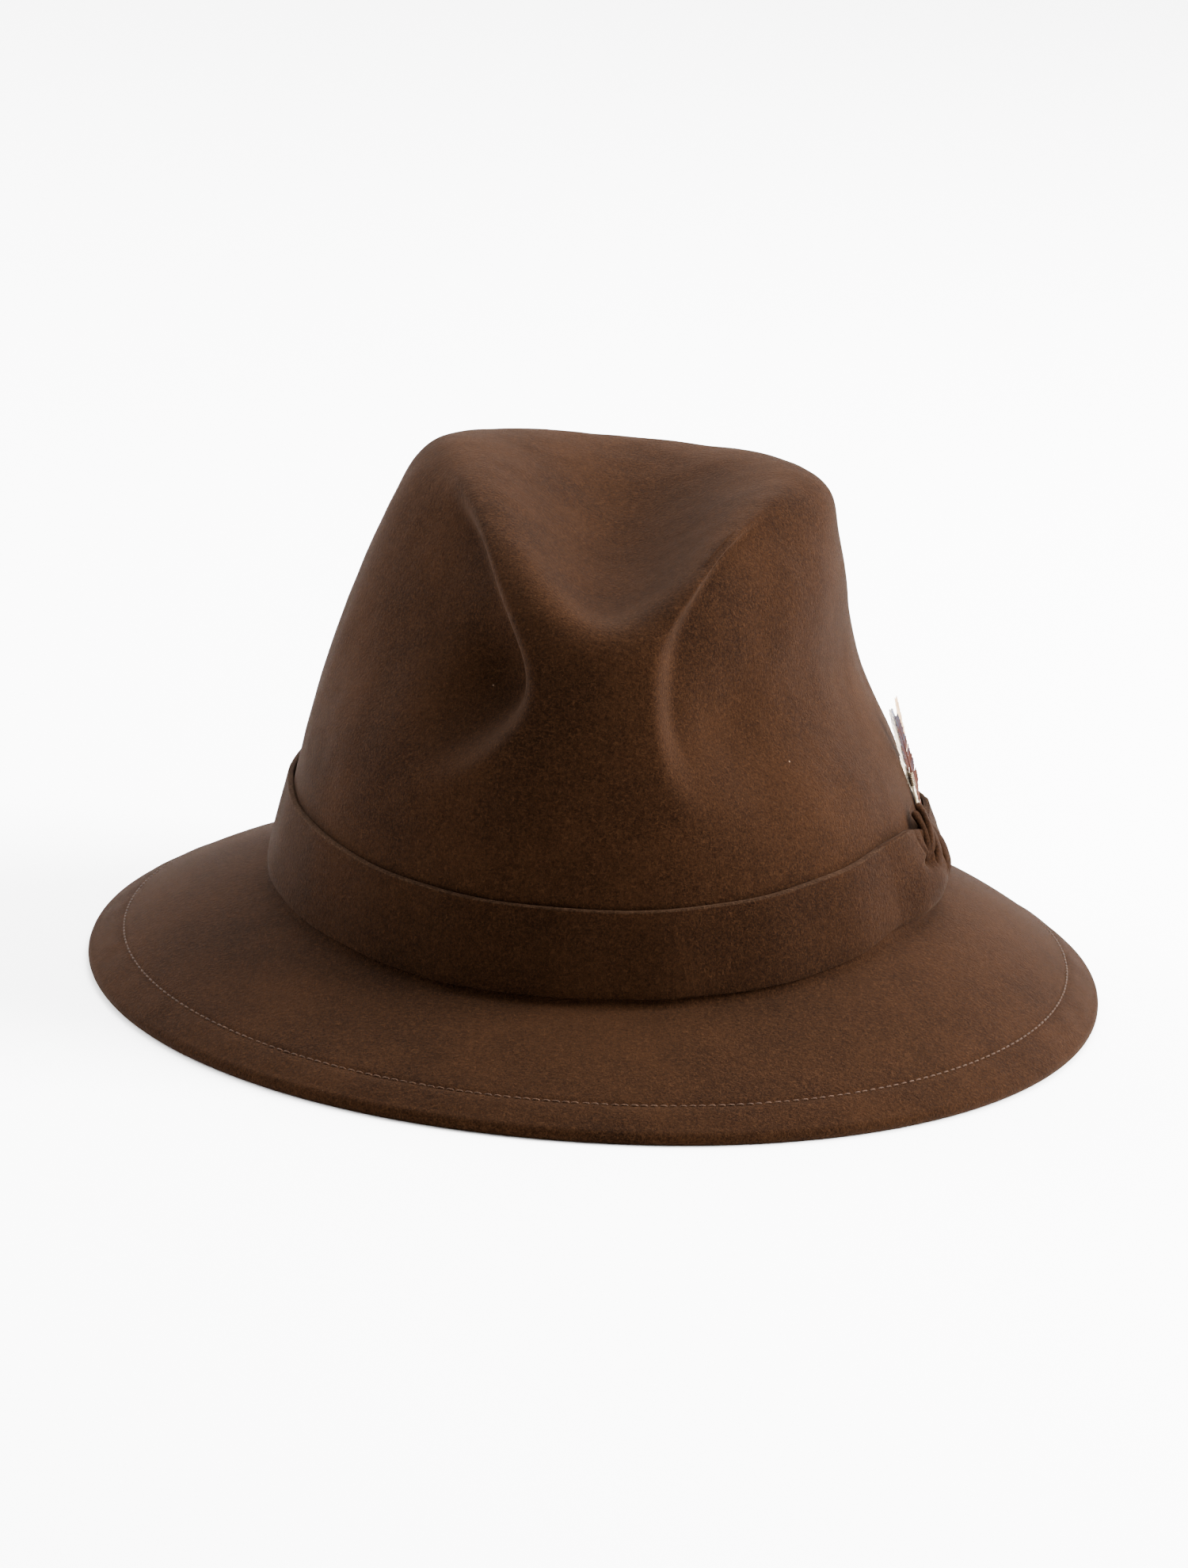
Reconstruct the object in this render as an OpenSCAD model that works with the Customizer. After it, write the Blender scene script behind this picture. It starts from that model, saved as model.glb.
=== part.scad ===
// Soft felt hat: creased and pinched crown, turned-down brim with a stitched edge, felt hatband with a gathered
// side bow, a pull-out bunch of feathers, leather sweatband and satin lining.
// Millimetres. +Z is up, -Y is the wearer's front and +X the wearer's left.
// The origin is the middle of the hat's outline, on the surface that the brim rests on.

/* [Crown] */
// Half the outer width of the crown at the brim
crown_w = 87; // [80:0.2:92]
// Half the outer length of the crown at the brim
crown_l = 101.6; // [96:0.2:108]
// Height of the crown before it is creased
crown_h = 114; // [105:1:125]
// Squareness of the crown's shoulder
crown_square = 4.4; // [3.4:0.1:4.8]
// Share of the width lost from base to top
taper_w = 0.29; // [0.2:0.01:0.32]
// Share of the length lost from base to top
taper_l = 0.17; // [0.12:0.01:0.25]
// Depth of the centre crease in the top
crease_d = 26.5; // [15:0.5:30]
// Extra dip where the crease runs out at the front
dip_d = 7.5; // [0:0.5:10]

/* [Brim] */
// Half the width of the brim, before its edge is rounded
brim_w = 132.6; // [126:0.2:140]
// Half the length of the brim, before its edge is rounded
brim_l = 153.6; // [146:0.2:160]
// Mean height of the brim's break above the surface it rests on
break_z = 25.5; // [22:0.5:30]
// Width of the felt turned under and stitched at the edge
welt = 9; // [7:1:12]

/* [Felt and trims] */
// Thickness of the felt
felt_t = 2; // [1.8:0.1:2.2]
// Height of the hatband
band_h = 20.4; // [18:0.2:24]
// Thickness of the hatband felt
band_t = 1.6; // [1.4:0.1:1.8]
// Height of the sweatband
sweat_h = 40; // [36:1:42]
// Thickness of the sweatband leather
sweat_t = 1.2; // [1:0.1:1.3]
// How far the feathers' quills reach down behind the band
tuck = 18; // [14:1:19]

/* [Hidden] */

// Felt body: points round it, steps up the crown, and how the oval narrows to the front
SEG = 72;
CROWN_STEPS = 24;
INNER_STEPS = 18;
TIP = 0.985;
egg = 0.04;
lean = -2.3;
fillet = 3;
edge_z = 3.75;
brim_curl = 1.8;
brim_straight = 0.52;
brim_square = 2.05;

// Foot of the crown: how far the band draws it in and how square its oval is, up to where that fades out.
// The line where it meets the brim stands highest at the sides and lowest at front and back.
base_pull = 2;
base_square = 2.2;
base_fades = [15, 70];
base_side = 4.4;
base_dip = 7.2;
base_tilt = 2;

// Brim, as shares of the way out: where the turned-under felt ends and the stitches run, then rows of points on
// top, under the doubled edge and under the single felt
slope_w = brim_w - crown_w + base_pull;
fold = 1 - welt / slope_w;
stitch = 1 - (welt - 0.8) / slope_w;
TOP_ROWS = [0.012, 0.035, 0.07, 0.13, 0.24, 0.38, 0.53, 0.68, 0.84, 1];
UNDER_ROWS = [1, 0.91, fold + 0.004];
INNER_ROWS = [fold, 0.7, 0.5, 0.3, 0.14, 0.06, 0.02];
EDGE_TURNS = [40, 80, 115, 132, 158];
land_turn = 100;
cord_gap = 0.36;
cord_r = 0.3;

// Centre crease: heights are above the brim's break
crease_x = 2.6;
crease_sharp = 1.7;
crease_half = [24, 48];
crease_widens = [-110, -36];
crease_starts = [-160, -50];
crease_ends = [-40, 90];
crease_height = [68, 122];
dip_at = -97;
dip_size = [14, 12];

// Front pinches: side, depth, half width of the nose between them, how the nose widens above and below
// [rate, height], rise and fall of the dent across, fade-in and fade-out heights, and where it ends behind
PINCH_RIGHT = [-1, 13.5, 15.3, [0.68, 73], [0.39, 56], 13, 45, [38, 78], [110, 128], 6];
PINCH_LEFT = [1, 6, 16.8, [0.66, 84], [0.31, 66], 13, 36, [26, 61], [111, 115], 23];
// Thumb hollows at the foot of each pinch: depth, distance from the middle, height, radius
HOLLOW_RIGHT = [8, 32, 66, 17.5];
HOLLOW_LEFT = [4.8, 51, 55, 16];
// Dents in the sides, then bulges at the shoulders: depth, y, height, and size along y and z
DENT_RIGHT = [4.6, -41, 76, 40, 28];
DENT_LEFT = [12.2, -21, 61, 66, 26];
BULGE_RIGHT = [9.5, 33, 115, 40, 16];
BULGE_LEFT = [7.3, 6, 109, 40, 11];

FELT_BROWN = [0.29, 0.19, 0.13];
LEATHER_TAN = [0.55, 0.36, 0.2];
SATIN = [0.42, 0.3, 0.2];
THREAD_TAN = [0.6, 0.4, 0.22];
TAPE_BROWN = [0.3, 0.2, 0.13];
REED_WHITE = [0.85, 0.83, 0.78];
QUILL_HORN = [0.8, 0.74, 0.62];
FEATHER_CREAM = [0.82, 0.74, 0.6];
FEATHER_CHESTNUT = [0.35, 0.14, 0.08];
FEATHER_WHITE = [0.92, 0.9, 0.86];
FEATHER_GREY = [0.45, 0.43, 0.42];

// The pocket's room behind the band, where the feathers sit round the crown, and how far back they lean
pocket = 1.65;
pull_at = 4.5;
pull_lean = 10;
// Height of the lining's tip above the break
lining_top = 72;

function unit(t) = min(1, max(0, t));
function ease(a, b, t) = let (u = unit((t - a) / (b - a))) u * u * (3 - 2 * u);
function grow(t, w = 4) = t > 20 * w ? t : w * ln(1 + exp(t / w));
function bell(t) = exp(-t * t);
function mid(points) = [for (k = [0:2]) [for (p = points) p[k]] * [for (p = points) 1]] / len(points);

function round_out(th, n) = pow(pow(abs(cos(th)), n) + pow(abs(sin(th)), n), -1 / n);

// How far the crown's foot stands above its mean height, and what is left of that at the height z
function base_line(th) =
    let (k = round_out(th, base_square)) base_side - base_dip * pow(k * sin(th), 2) + base_tilt * k * cos(th);

function base_left(z) = 1 - ease(0, base_fades[1], z);

// The crown as blocked, before any crease: th turns round it from +X, s runs from its base to its top.
function open_crown(th, s) =
    let (
        phi = 90 * s,
        k = pow(pow(cos(phi), crown_square) + pow(sin(phi), crown_square), -1 / crown_square),
        c = cos(phi) * k,
        h = sin(phi) * k,
        low = 1 - ease(base_fades[0], base_fades[1], crown_h * h),
        plan = c * (1 + (round_out(th, base_square) - 1) * low)
    ) [
        (crown_w - base_pull * low) * plan * (1 - taper_w * h) * cos(th) * (1 + egg * sin(th)),
        (crown_l - base_pull * low) * plan * (1 - taper_l * h) * sin(th),
        crown_h * h
    ];

function crease(p) =
    let (
        spread = ease(crease_widens[0], crease_widens[1], p.y),
        half = crease_half[0] + (crease_half[1] - crease_half[0]) * spread,
        u = unit(abs(p.x - crease_x) / half),
        across = pow((1 + cos(180 * u)) / 2, crease_sharp),
        along = ease(crease_starts[0], crease_starts[1], p.y) * (1 - ease(crease_ends[0], crease_ends[1], p.y)),
        dip = dip_d * bell((p.y - dip_at) / dip_size[1]) * bell((p.x - crease_x) / dip_size[0])
    ) (crease_d * across * along + dip) * ease(crease_height[0], crease_height[1], p.z);

// How far in one front pinch pushes the point p
function pinch(p, g, hollow) =
    let (
        a = g[0] * p.x,
        nose = g[2] + g[3][0] * grow(p.z - g[3][1]) + g[4][0] * grow(g[4][1] - p.z),
        t = a - nose,
        across = ease(-3, g[5], t) * bell(max(0, t - g[5]) / g[6]),
        up = ease(g[7][0], g[7][1], p.z) * (1 - ease(g[8][0], g[8][1], p.z)),
        thumb = hollow[0] * bell((a - hollow[1]) / hollow[3]) * bell((p.z - hollow[2]) / hollow[3])
    ) (g[1] * up + thumb) * across * (1 - ease(-60, g[9], p.y));

function swell(p, g) = g[0] * bell((p.y - g[1]) / g[3]) * bell((p.z - g[2]) / g[4]);

// How far out the side of the crown stands at p, for the side sg
function side_push(p, sg, dent, bulge) =
    swell(p, bulge) * ease(10, 40, sg * p.x) - swell(p, dent) * ease(15, 50, sg * p.x);

function crown(th, s) =
    let (
        p = open_crown(th, s),
        right = pinch(p, PINCH_RIGHT, HOLLOW_RIGHT),
        left = pinch(p, PINCH_LEFT, HOLLOW_LEFT),
        push = side_push(p, 1, DENT_LEFT, BULGE_LEFT) - side_push(p, -1, DENT_RIGHT, BULGE_RIGHT)
    ) [
        p.x + 0.6 * (right - left) + push + lean * p.z / 100,
        p.y + 0.8 * (right + left),
        break_z + p.z + base_line(th) * base_left(p.z) - crease(p)
    ];

// The top of the brim: v runs from the break to the edge.
function brim(th, v) =
    let (
        foot = crown(th, 0),
        k = round_out(th, brim_square),
        run = v * slope_w,
        corner = run < fillet ? fillet * (1 - sqrt(1 - pow(1 - max(0, run) / fillet, 2))) : 0,
        drop = brim_straight * v + (1 - brim_straight) * pow(max(0, v), brim_curl)
    ) [
        foot.x + ((brim_w - felt_t) * k * cos(th) - foot.x) * v,
        foot.y + ((brim_l - felt_t) * k * sin(th) - foot.y) * v,
        foot.z - fillet + corner - (foot.z - fillet - edge_z) * drop
    ];

// The felt's outer surface in one sweep: u is 1 at the crown's top, 0 at the break and -1 at the brim's edge.
function outside(th, u) = u >= 0 ? crown(th, u) : brim(th, -u);
function along(th, u) = let (d = outside(th, u + 0.003) - outside(th, u - 0.003)) d / norm(d);
function normal(th, u) =
    let (n = cross(outside(th + 0.4, u) - outside(th - 0.4, u), along(th, u))) n / norm(n);
function skin(th, u, off) = outside(th, u) + off * normal(th, u);
function ring(u, off, seg = SEG) = [for (i = [0:seg - 1]) skin(i * 360 / seg, u, off)];

// Height z above the break as a share of the way up the crown
function share(z) =
    let (h = max(0, z) / crown_h) atan(h / pow(1 - pow(h, crown_square), 1 / crown_square)) / 90;

function outwards(th) =
    let (
        p = base_square - 1,
        n = [sign(cos(th)) * pow(abs(cos(th)), p) / crown_w, sign(sin(th)) * pow(abs(sin(th)), p) / crown_l]
    ) n / norm(n);

// The crown's wall at the blocked height z, moved off outwards: as it is, then without its dents, which trims
// bridge
function wall_at(th, z, off) =
    let (p = crown(th, share(z)), n = outwards(th))
        [p.x + off * n.x, p.y + off * n.y, break_z + z + base_line(th) * base_left(z)];
function cone_at(th, z, off) =
    let (p = open_crown(th, share(z)), n = outwards(th))
        [p.x + off * n.x + lean * p.z / 100, p.y + off * n.y, break_z + z + base_line(th) * base_left(z)];

// The same with z measured up from the crown's foot
function lift(th, z) = z + base_line(th) * (1 - base_left(z));
function wall(th, z, off) = wall_at(th, lift(th, z), off);
function cone(th, z, off) = cone_at(th, lift(th, z), off);

// A rounded section across a strip on the wall, through the heights zs above the crown's foot: t thick, its
// inner face off from the felt's face at its foot and off + rise at its top
function section(th, zs, off, t, rise = 0, dented = false) =
    let (
        n = len(zs) - 1,
        lo = zs[0],
        hi = zs[n],
        c = min(t, hi - lo) / 4,
        outer = [[0, lo + c], [c, lo], [t - c, lo], [t, lo + c], for (k = [1:1:n - 1]) [t, zs[k]]],
        inner = [[t, hi - c], [t - c, hi], [c, hi], [0, hi - c], for (k = [n - 1:-1:1]) [0, zs[k]]]
    ) [
        for (q = concat(outer, inner))
            let (o = off + q.x + rise * (q.y - lo) / (hi - lo)) dented ? wall(th, q.y, o) : cone(th, q.y, o)
    ];

// A solid through sections of equal count. Closed runs join the last section to the first; open ones get ends.
module loft(sections, closed = false) {
    m = len(sections);
    n = len(sections[0]);
    rows = closed ? m - 1 : m - 2;
    points = concat([for (s = sections) each s], closed ? [] : [mid(sections[0]), mid(sections[m - 1])]);
    sides = [
        for (i = [0:rows], j = [0:n - 1])
            let (near = i * n, far = ((i + 1) % m) * n, k = (j + 1) % n)
                each [[near + j, near + k, far + k], [near + j, far + k, far + j]]
    ];
    ends = closed ? [] : [
        for (j = [0:n - 1])
            let (far = (m - 1) * n, k = (j + 1) % n) each [[m * n, k, j], [m * n + 1, far + j, far + k]]
    ];
    faces = concat(sides, ends);
    polyhedron(points, faces);
}

// A closed cord round the hat through the points at(th)
module cord_ring(at, r, sides = 5) {
    loft([
        for (i = [0:SEG - 1])
            let (th = i * 360 / SEG, p = at(th), n = outwards(th))
                [
                    for (k = [0:sides - 1])
                        let (turn = k * 360 / sides, c = r * cos(turn)) p + [c * n.x, c * n.y, r * sin(turn)]
                ]
    ], true);
}

// The brim's rounded edge: a half turn about the middle of the doubled felt, with a flat where it rests
function edge_point(th, turn) =
    let (
        p = skin(th, -1, -felt_t) + felt_t * (cos(turn) * normal(th, -1) - sin(turn) * along(th, -1))
    ) turn > land_turn ? [p.x, p.y, 0] : p;
function edge_ring(turn) = [for (i = [0:SEG - 1]) edge_point(i * 360 / SEG, turn)];

module felt_body() {
    color(FELT_BROWN)
        loft(concat(
            [for (k = [0:CROWN_STEPS]) ring(TIP * (1 - k / CROWN_STEPS), 0)],
            [for (v = TOP_ROWS) ring(-v, 0)],
            [for (turn = EDGE_TURNS) edge_ring(turn)],
            [for (v = UNDER_ROWS) ring(-v, -2 * felt_t)],
            [for (v = INNER_ROWS) ring(-v, -felt_t)],
            [for (k = [0:INNER_STEPS]) ring(TIP * k / INNER_STEPS, -felt_t)]
        ));
}

module brim_needle_thread() {
    color(THREAD_TAN) cord_ring(function (th) skin(th, -stitch, cord_gap), cord_r);
}

module brim_bobbin_thread() {
    color(THREAD_TAN) cord_ring(function (th) skin(th, -stitch, -2 * felt_t - cord_gap), cord_r);
}

// The band stands off the felt beside the bow, which leaves the pocket that the quills sit in, and the bow
// gathers its top down.
function from_bow(th) = abs((th > 180 ? th - 360 : th) - 2);
function band_off(th) = 0.25 + pocket * (1 - ease(18, 28, from_bow(th)));
function band_top(th) = 0.4 + band_h - 3.8 * (1 - ease(8, 20, from_bow(th)));
bow_off = 0.25 + pocket + band_t + 0.15;
bow_h = 13.5;

module hatband() {
    color(FELT_BROWN)
        loft([
            for (i = [0:SEG])
                let (th = -3.6 + i * 359.2 / SEG)
                    section(th, [0.4, 7, 13, band_top(th)], band_off(th), band_t, 0, true)
        ]);
}

// One gathered loop of the bow, flat at its far end and full where the wrap holds it
module bow_loop(side) {
    color(FELT_BROWN)
        loft([
            for (k = side > 0 ? [0:10] : [10:-1:0])
                let (
                    f = k / 10,
                    full = 1.2 * pow(1 - f, 1.5) + sin(180 * pow(f, 0.7)),
                    rows = [0.2 + 1.6 * f * f, bow_h - 2 * f * f]
                )
                    section(side * (2.7 + 12.3 * f), rows, bow_off, band_t + full, 0, true)
        ]);
}

module bow_front_loop() {
    bow_loop(-1);
}

module bow_rear_loop() {
    bow_loop(1);
}

module bow_wrap() {
    color(FELT_BROWN)
        loft([
            for (k = [0:6])
                let (f = 1 - abs(k / 3 - 1))
                    section(-2.5 + 5 * k / 6, [-0.5, bow_h + 1], bow_off, 2.5 + 0.7 * sin(90 * f), 0, true)
        ]);
}

// Feathers: flat blades in one plane along the wall, leaning back. The frame is [origin, along, across,
// outwards].
pull_frame =
    let (
        o = wall(pull_at, 0, 0),
        up = (wall(pull_at, band_h, 0) - o) / norm(wall(pull_at, band_h, 0) - o),
        n = outwards(pull_at),
        side = [-n.y, n.x, 0],
        ax = cos(pull_lean) * up + sin(pull_lean) * side,
        ac = cos(pull_lean) * side - sin(pull_lean) * up
    ) [o - 1.7 * ac, ax, ac, cross(side, up)];

function blade_point(l, x, d) = pull_frame[0] + l * pull_frame[1] + x * pull_frame[2] + d * pull_frame[3];

// rows are [distance up, half width, shift to the back]; the blade lies from off to off + t outwards
module blade(rows, off, t) {
    loft([
        for (r = rows)
            [
                for (q = [[-1, 0.5], [-0.6, 0], [0.6, 0], [1, 0.5], [0.6, 1], [-0.6, 1]])
                    blade_point(r[0], r[2] + r[1] * q.x, off + t * q.y)
            ]
    ]);
}

quill_top = band_h + 2.6;

module feather_quills() {
    color(QUILL_HORN)
        blade([
            [quill_top - tuck - 2.1, 1.2, 0], [quill_top - tuck, 2.2, 0],
            [quill_top - 6, 2.5, 0], [quill_top, 2.5, 0]
        ], 0.55, 0.7);
}

module feather_binding() {
    color(QUILL_HORN)
        blade([
            [quill_top, 2.9, 0], [quill_top + 0.5, 3.2, 0], [quill_top + 3.5, 3.2, 0], [quill_top + 4, 2.9, 0]
        ], 0, 2.2);
}

// A feather from the binding: length, widest half width, lean to the back, and its place in the stack
module feather(long, half, back, off, t = 0.6) {
    foot = quill_top + 4;
    blade([
        for (k = [0:8])
            let (f = k / 8, w = 0.45 + half * pow(sin(180 * pow(0.04 + 0.92 * f, 0.8)), 0.8))
                [foot + long * f, w, back * f * (0.4 + 0.6 * f)]
    ], off, t);
}

module feather_cream() {
    color(FEATHER_CREAM) feather(20, 2.4, 3, 0.9);
}

module feather_chestnut() {
    color(FEATHER_CHESTNUT) feather(14, 1.7, 0.6, 0.15);
}

module feather_white() {
    color(FEATHER_WHITE) feather(17, 2.6, -2.6, -0.6);
}

module feather_guinea() {
    color(FEATHER_GREY) feather(10, 4.2, 2.4, 1.65, 0.8);
}

// Sweatband: leather stands just inside the felt, open at the back seam, with a reed along its lower edge.
leather_off = -felt_t - 1.4 - sweat_t;
leather_rise = -0.8;
sweat_foot = -2.4;
LEATHER_ROWS = [sweat_foot, 0.3, 12, 22, 30, sweat_foot + sweat_h];

module sweatband() {
    color(LEATHER_TAN)
        loft([
            for (i = [0:SEG])
                let (th = 90.6 + i * 358.8 / SEG)
                    section(th, LEATHER_ROWS, leather_off, sweat_t, leather_rise, true)
        ]);
}

module sweatband_reed() {
    color(REED_WHITE) cord_ring(function (th) wall(th, sweat_foot - 1.25, -felt_t - 2.4), 1.2, 6);
}

module reed_tape() {
    color(TAPE_BROWN)
        loft([for (i = [0:SEG - 1]) section(i * 360 / SEG, [-4.6, 0, 7], -felt_t - 0.75, 0.3, 0, true)], true);
}

module sweatband_thread() {
    color(THREAD_TAN) cord_ring(function (th) wall(th, 2.4, leather_off - 0.62), 0.25);
}

module sweatband_seam_tape() {
    color(TAPE_BROWN)
        loft([
            for (k = [0:4]) section(87 + 6 * k / 4, [sweat_foot + 0.4, 0, 9.6], -felt_t - 1.32, 0.34, 0, true)
        ]);
}

module sweatband_bow() {
    color(TAPE_BROWN)
        loft([
            for (k = [0:12])
                let (f = abs(k / 6 - 1), half = 1.5 + 3.2 * pow(f, 0.6), rows = [7 - half, 7 + half])
                    section(90 + 1.25 * (k - 6), rows, leather_off - 2.1, 0.9 + 0.4 * f, 0, true)
        ]);
}

module size_tab() {
    color(REED_WHITE)
        loft([
            for (k = [0:4])
                section(103 + 6 * k / 4, [12, 20, 28], leather_off - 1.3, 0.3, leather_rise / 2, true)
        ]);
}

// Lining: satin that follows the felt behind the leather, then hangs clear of the creases to a flat oval tip
lining_z = [10.5, 20, 30, 38, 46, 54, 62, lining_top];
function lining(th, z, off) =
    let (
        hang = 3.2 + 23.5 * pow((z - lining_z[0]) / (lining_top - lining_z[0]), 1.35),
        f = ease(36, 60, z),
        a = wall_at(th, z, -felt_t - 1 + off),
        b = cone_at(th, z, -hang + off)
    ) a + (b - a) * f;
function lining_ring(z, off) = [for (i = [0:SEG - 1]) lining(i * 360 / SEG, z, off)];

module lining_side() {
    color(SATIN)
        loft(concat(
            [for (k = [len(lining_z) - 1:-1:0]) lining_ring(lining_z[k], 0)],
            [for (z = lining_z) lining_ring(z, -0.35)]
        ), true);
}

module lining_tip() {
    color(SATIN)
        loft([
            for (z = [1.3, 0.9])
                [for (i = [0:SEG - 1]) lining(i * 360 / SEG, lining_top, -1.8) + [0, 0, z]]
        ]);
}

module lining_piping() {
    color(SATIN) cord_ring(function (th) lining(th, lining_top, -0.6) + [0, 0, 1.1], 0.85);
}

felt_body();
brim_needle_thread();
brim_bobbin_thread();
hatband();
bow_front_loop();
bow_rear_loop();
bow_wrap();
feather_quills();
feather_binding();
feather_cream();
feather_chestnut();
feather_white();
feather_guinea();
sweatband();
sweatband_reed();
reed_tape();
sweatband_thread();
sweatband_seam_tape();
sweatband_bow();
lining_side();
lining_tip();
lining_piping();
size_tab();
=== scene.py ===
"""Looks of a soft felt hat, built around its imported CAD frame.

The hat faces -Y and +X is the wearer's left. Shapes are in millimetres until make_object scales them.
"""

import bpy
import math
import numpy as np
from mathutils import Matrix, Vector, noise


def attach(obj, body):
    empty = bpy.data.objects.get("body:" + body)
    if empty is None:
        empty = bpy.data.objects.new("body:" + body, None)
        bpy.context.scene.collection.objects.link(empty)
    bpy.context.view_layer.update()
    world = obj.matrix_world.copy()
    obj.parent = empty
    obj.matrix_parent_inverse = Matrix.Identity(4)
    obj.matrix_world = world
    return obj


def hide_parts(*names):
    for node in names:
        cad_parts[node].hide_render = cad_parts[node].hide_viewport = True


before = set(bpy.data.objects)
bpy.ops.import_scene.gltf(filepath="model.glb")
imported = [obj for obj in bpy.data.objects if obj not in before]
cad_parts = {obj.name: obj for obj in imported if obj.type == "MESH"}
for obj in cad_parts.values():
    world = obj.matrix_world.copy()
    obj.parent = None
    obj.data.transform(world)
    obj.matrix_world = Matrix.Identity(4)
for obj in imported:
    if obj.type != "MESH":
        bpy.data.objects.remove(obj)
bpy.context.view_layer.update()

MM = 0.001

# ---------------------------------------------------------------- camera
CAMERA_AZIMUTH = 2.55
CAMERA_ELEVATION = 14.36
CAMERA_ROLL = 3.76
CAMERA_AIM = (-0.00336, 0.0, 0.05061)
CAMERA_DISTANCE = 1.988
CAMERA_LENS = 176.1
SENSOR = 36


def make_camera():
    a = math.radians(CAMERA_AZIMUTH)
    e = math.radians(CAMERA_ELEVATION)
    back = Vector((math.sin(a) * math.cos(e), -math.cos(a) * math.cos(e), math.sin(e)))
    right = Vector((math.cos(a), math.sin(a), 0))
    basis = Matrix((right, back.cross(right), back)).transposed()
    turn = basis @ Matrix.Rotation(math.radians(CAMERA_ROLL), 3, "Z")
    camera = bpy.data.objects.new("camera", bpy.data.cameras.new("camera"))
    camera.data.lens = CAMERA_LENS
    camera.data.sensor_width = SENSOR
    camera.data.clip_end = 20
    camera.matrix_world = Matrix.Translation(Vector(CAMERA_AIM) + CAMERA_DISTANCE * back) @ turn.to_4x4()
    bpy.context.collection.objects.link(camera)
    bpy.context.scene.camera = camera


make_camera()

# ---------------------------------------------------------------- shape of the felt
# The blocked crown: half width, half length, height, squareness of its upright outline, and its taper.
CROWN_W = 87.0
CROWN_L = 101.6
CROWN_H = 114.0
CROWN_SQUARE = 4.4
TAPER_W = 0.29
TAPER_L = 0.17
EGG = 0.04
LEAN = -2.3
# The break is where the crown turns into the brim. The crown's foot is drawn in and rises towards the sides.
BREAK_Z = 25.5
BASE_PULL = 2.0
BASE_SQUARE = 2.2
BASE_FADES = (15, 70)
BASE_SIDE, BASE_DIP, BASE_TILT = 4.4, 7.2, 2.0
# The brim: half width, half length, and how its slope runs from the fillet at the break to the folded edge.
BRIM_W = 132.6
BRIM_L = 153.6
BRIM_SQUARE = 2.05
FILLET = 3.0
EDGE_Z = 3.75
BRIM_CURL = 1.8
BRIM_STRAIGHT = 0.52
WELT = 9.0
FELT_T = 2.0
TIP = 0.9995
SLOPE_W = BRIM_W - CROWN_W + BASE_PULL
FOLD = 1 - WELT / SLOPE_W
STITCH = 1 - (WELT - 0.8) / SLOPE_W
GROOVE = 0.28
GROOVE_W = 0.8
WELT_SWELL = 0.18
# The hatband. At the bow it stands off by POCKET and its top dips; away from the bow its foot drops.
BAND_H = 20.4
BAND_T = 1.6
BAND_FOOT = 0.4
BAND_GAP = 0.25
POCKET = 1.65
BAND_DIP = 3.8
BAND_DROP = 1.7
BOW_AT = 2

# Creases and dents pressed into the blocked crown: d or depth is how deep, x, y, z and at are where.
CREASE = dict(
    d=26.5, x=2.6, sharp=1.45, half=(23.5, 47), widens=(-110, -36), starts=(-160, -50), ends=(-40, 90),
    height=(77, 117),
)
DIP = dict(d=7.5, at=-97, size=(14, 12))
PINCH_RIGHT = dict(
    side=-1, depth=12.5, nose=14.6, above=(0.6, 73), below=(1.2, 62), rise=14, fall=45,
    fade_in=(42, 76), fade_out=(96, 121), back=6,
)
PINCH_LEFT = dict(
    side=1, depth=8.5, nose=16.8, above=(0.66, 84), below=(0.31, 66), rise=9.5, fall=36,
    fade_in=(40, 64), fade_out=(100, 117), back=23,
)
HOLLOW_RIGHT = dict(d=10.5, x=33, z=63, size=14.5)
HOLLOW_LEFT = dict(d=4.8, x=51, z=55, size=16)
DENT_RIGHT = dict(d=4.6, y=-41, z=76, size=(40, 28))
DENT_LEFT = dict(d=12.2, y=-21, z=61, size=(66, 26))
BULGE_RIGHT = dict(d=9.5, y=33, z=115, size=(40, 16))
BULGE_LEFT = dict(d=7.3, y=6, z=109, size=(40, 11))


def ease(a, b, t):
    """0 below a, 1 above b, and smooth between."""
    u = np.clip((np.asarray(t, float) - a) / (b - a), 0, 1)
    return u * u * (3 - 2 * u)


def bell(t):
    return np.exp(-t * t)


def grow(t, w=4.0):
    """t where it is above 0, else 0, with a soft corner w wide."""
    return w * np.logaddexp(0, t / w)


def round_out(th, n):
    """How far a squared oval lies from its middle, for a unit oval."""
    return (np.abs(np.cos(th)) ** n + np.abs(np.sin(th)) ** n) ** (-1 / n)


def base_line(th):
    """How far the crown's foot stands above its mean: highest at the sides, lowest at front and back."""
    k = round_out(th, BASE_SQUARE)
    return BASE_SIDE - BASE_DIP * (k * np.sin(th)) ** 2 + BASE_TILT * k * np.cos(th)


def base_left(z):
    return 1 - ease(0, BASE_FADES[1], z)


def open_crown(th, s):
    """The crown as blocked, above the break: th turns round from +X, s runs from base to top."""
    c0, s0 = np.cos(s * np.pi / 2), np.sin(s * np.pi / 2)
    k = (np.abs(c0) ** CROWN_SQUARE + np.abs(s0) ** CROWN_SQUARE) ** (-1 / CROWN_SQUARE)
    c, h = c0 * k, s0 * k
    low = 1 - ease(*BASE_FADES, CROWN_H * h)
    plan = c * (1 + (round_out(th, BASE_SQUARE) - 1) * low)
    x = (CROWN_W - BASE_PULL * low) * plan * (1 - TAPER_W * h) * np.cos(th) * (1 + EGG * np.sin(th))
    y = (CROWN_L - BASE_PULL * low) * plan * (1 - TAPER_L * h) * np.sin(th)
    return x, y, CROWN_H * h


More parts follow.
